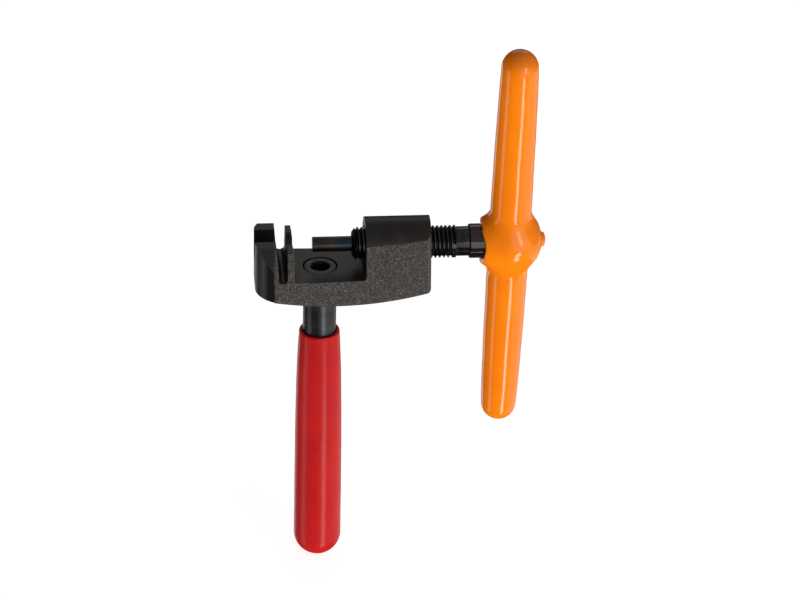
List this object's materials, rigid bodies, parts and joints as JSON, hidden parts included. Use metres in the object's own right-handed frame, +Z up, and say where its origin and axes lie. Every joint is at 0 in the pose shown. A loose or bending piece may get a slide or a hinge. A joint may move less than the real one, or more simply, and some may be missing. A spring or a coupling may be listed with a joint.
{
  "type": "chain tool",
  "caption": "Screw-type bicycle chain tool: forged body with anvil, slot and supporting tooth, threaded spindle with driving pin and dipped T-handle, dipped straight handle.",
  "frame": {"origin": "where the spindle axis crosses the handle axis, above the middle of the handle screw", "axes": "+X along the spindle from the anvil to the T-handle, +Z up away from the handle, +Y away from the working side"},
  "size_m": [0.0866, 0.0257, 0.1752],
  "materials": {
    "black_forging": "forged and black oxide finished, milled faces smooth",
    "black_bar": "black oxide, drawn bar",
    "black_fastener": "black oxide, satin",
    "red_dip": "dipped soft PVC, satin",
    "black_spindle": "turned, black oxide",
    "pin_steel": "hardened and tempered, polished, faint straw and blue tint",
    "spring_wire": "drawn spring wire",
    "bare_bar": "plain drawn bar, hidden under the coating",
    "orange_dip": "dipped soft PVC, glossy"
  },
  "bodies": {
    "frame": {"forged_body": "black_forging", "handle_rod": "black_bar", "handle_screw": "black_fastener", "handle_grip": "red_dip"},
    "pin": {"driving_pin": "pin_steel", "pin_retaining_ring": "spring_wire"},
    "screw": {"spindle": "black_spindle", "t_bar": "bare_bar", "t_handle_coating": "orange_dip"}
  },
  "joints": [
    {"name": "pin_travel", "type": "slide", "parent": "frame", "child": "pin", "axis": [1, 0, 0], "range_m": [-0.01122, 0.01501]},
    {"name": "spindle_turn", "type": "hinge", "parent": "pin", "child": "screw", "pos_m": [0, 0, 0], "axis": [1, 0, 0], "range_deg": [-3230, 4320]}
  ],
  "couplings": [
    {"joint": "pin_travel", "follows": "spindle_turn", "m_per_rad": 0.00019894}
  ]
}
